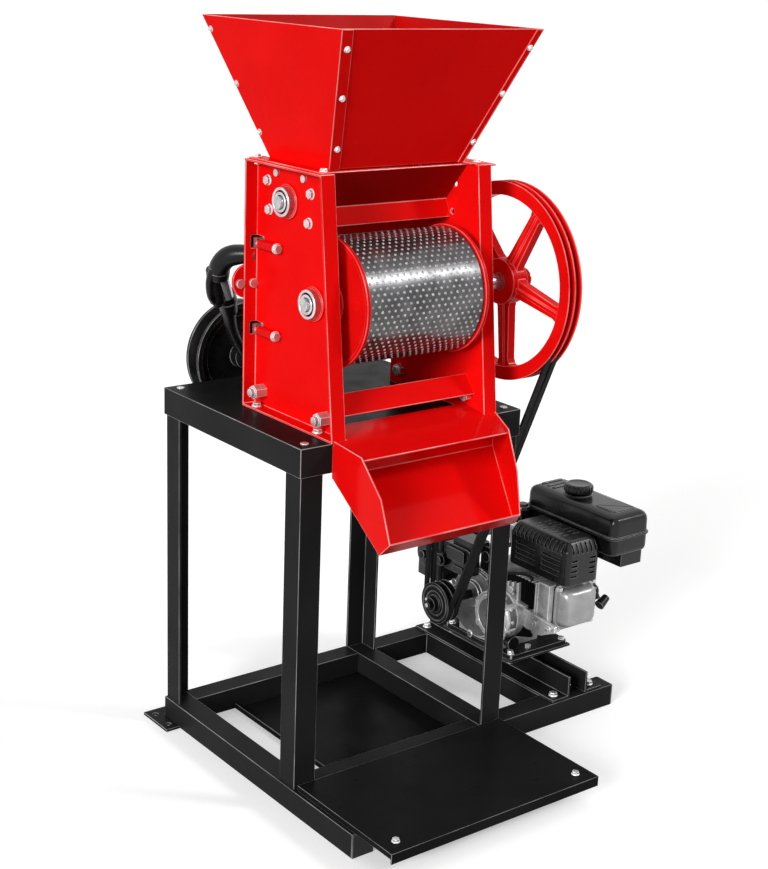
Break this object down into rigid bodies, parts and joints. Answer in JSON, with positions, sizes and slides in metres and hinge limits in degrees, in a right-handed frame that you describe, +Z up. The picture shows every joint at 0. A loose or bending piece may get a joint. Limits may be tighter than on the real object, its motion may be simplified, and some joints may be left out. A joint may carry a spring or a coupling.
{
  "type": "coffee pulper",
  "caption": "Drum coffee pulper with a square feed hopper and a side flywheel on a steel stand, belt driven by a small petrol engine on the stand's side frame.",
  "frame": {"origin": "on the floor under the middle of the stand, on the underside of the floor tray", "axes": "+X to the flywheel and the engine, +Y to the back, away from the chute, +Z up"},
  "size_m": [0.99, 0.904, 1.5012],
  "materials": {
    "red_paint": "gloss enamel",
    "black_paint": "satin powder coat",
    "perforated_steel": "punched sheet",
    "bright_steel": "turned",
    "zinc_bolts": "zinc plated",
    "belt_rubber": "matt",
    "pulley_iron": "painted black",
    "engine_alloy": "cast",
    "muffler_steel": "heat proof black",
    "black_plastic": "moulded"
  },
  "bodies": {
    "machine": {"table_top": "black_paint", "leg_front_left": "black_paint", "leg_front_right": "black_paint", "leg_back_left": "black_paint", "leg_back_right": "black_paint", "base_rail_left": "black_paint", "base_rail_right": "black_paint", "base_cross_rails": "black_paint", "engine_bearers": "black_paint", "tube_end_caps": "black_plastic", "floor_tray": "black_paint", "anchor_tabs": "black_paint", "step_plate": "black_paint", "step_bars": "black_paint", "stand_bolts": "zinc_bolts", "side_plate_left": "red_paint", "side_plate_right": "red_paint", "throat_front_plate": "red_paint", "throat_rear_plate": "red_paint", "lower_deflector": "red_paint", "breast_adjusters": "red_paint", "housing_bolts": "zinc_bolts", "bearing_housings": "red_paint", "bearing_inserts": "bright_steel", "hopper_front": "red_paint", "hopper_back": "red_paint", "hopper_left": "red_paint", "hopper_right": "red_paint", "hopper_bolts": "zinc_bolts", "chute_cover": "red_paint", "chute_tray": "red_paint", "v_belts": "belt_rubber", "engine_rails": "black_paint", "engine_bolts": "zinc_bolts", "crankcase": "engine_alloy", "side_cover": "engine_alloy", "cylinder": "engine_alloy", "valve_cover": "engine_alloy", "muffler": "muffler_steel", "muffler_guard": "muffler_steel", "fuel_tank": "black_plastic", "air_cleaner": "black_plastic", "carburettor": "engine_alloy", "recoil_starter": "black_plastic", "oil_filler_plugs": "black_plastic", "rear_bracket": "red_paint", "rear_arm": "black_paint", "rear_axle": "bright_steel"},
    "drum": {"drum_shell": "perforated_steel", "drum_discs": "red_paint", "drum_shaft": "bright_steel", "flywheel": "red_paint"},
    "feeder": {"feed_roller": "bright_steel"},
    "engine_output": {"crankshaft": "bright_steel", "engine_pulley": "pulley_iron"},
    "breast": {"breast_plate": "bright_steel"},
    "wheel": {"rear_wheel": "black_paint"},
    "cap": {"fuel_cap": "black_plastic"},
    "starter": {"starter_handle": "black_plastic"},
    "throttle": {"throttle_lever": "black_plastic"}
  },
  "joints": [
    {"name": "drum_spin", "type": "hinge", "parent": "machine", "child": "drum", "pos_m": [0, -0.147, 0.993], "axis": [1, 0, 0], "continuous": true},
    {"name": "feeder_spin", "type": "hinge", "parent": "machine", "child": "feeder", "pos_m": [0, -0.054, 1.171], "axis": [1, 0, 0], "continuous": true},
    {"name": "pulley_spin", "type": "hinge", "parent": "machine", "child": "engine_output", "pos_m": [0.308, 0.008, 0.23], "axis": [1, 0, 0], "continuous": true},
    {"name": "wheel_spin", "type": "hinge", "parent": "machine", "child": "wheel", "pos_m": [-0.046, 0.315, 0.779], "axis": [0, 1, 0], "continuous": true},
    {"name": "breast_slide", "type": "slide", "parent": "machine", "child": "breast", "axis": [0, 1, 0], "range_m": [0, 0.006]},
    {"name": "cap_turn", "type": "hinge", "parent": "machine", "child": "cap", "pos_m": [0.618, -0.084, 0.464], "axis": [0, 0, 1], "range_deg": [0, 90]},
    {"name": "throttle_swing", "type": "hinge", "parent": "machine", "child": "throttle", "pos_m": [0.566, 0.1, 0.348], "axis": [0, 0, 1], "range_deg": [-20, 30]},
    {"name": "starter_pull", "type": "slide", "parent": "machine", "child": "starter", "axis": [0, -1, 0], "range_m": [0, 0.14], "stiffness_N_per_m": 30, "springref_m": -0.1}
  ],
  "couplings": [
    {"joint": "pulley_spin", "follows": "drum_spin", "ratio": 4.593}
  ]
}
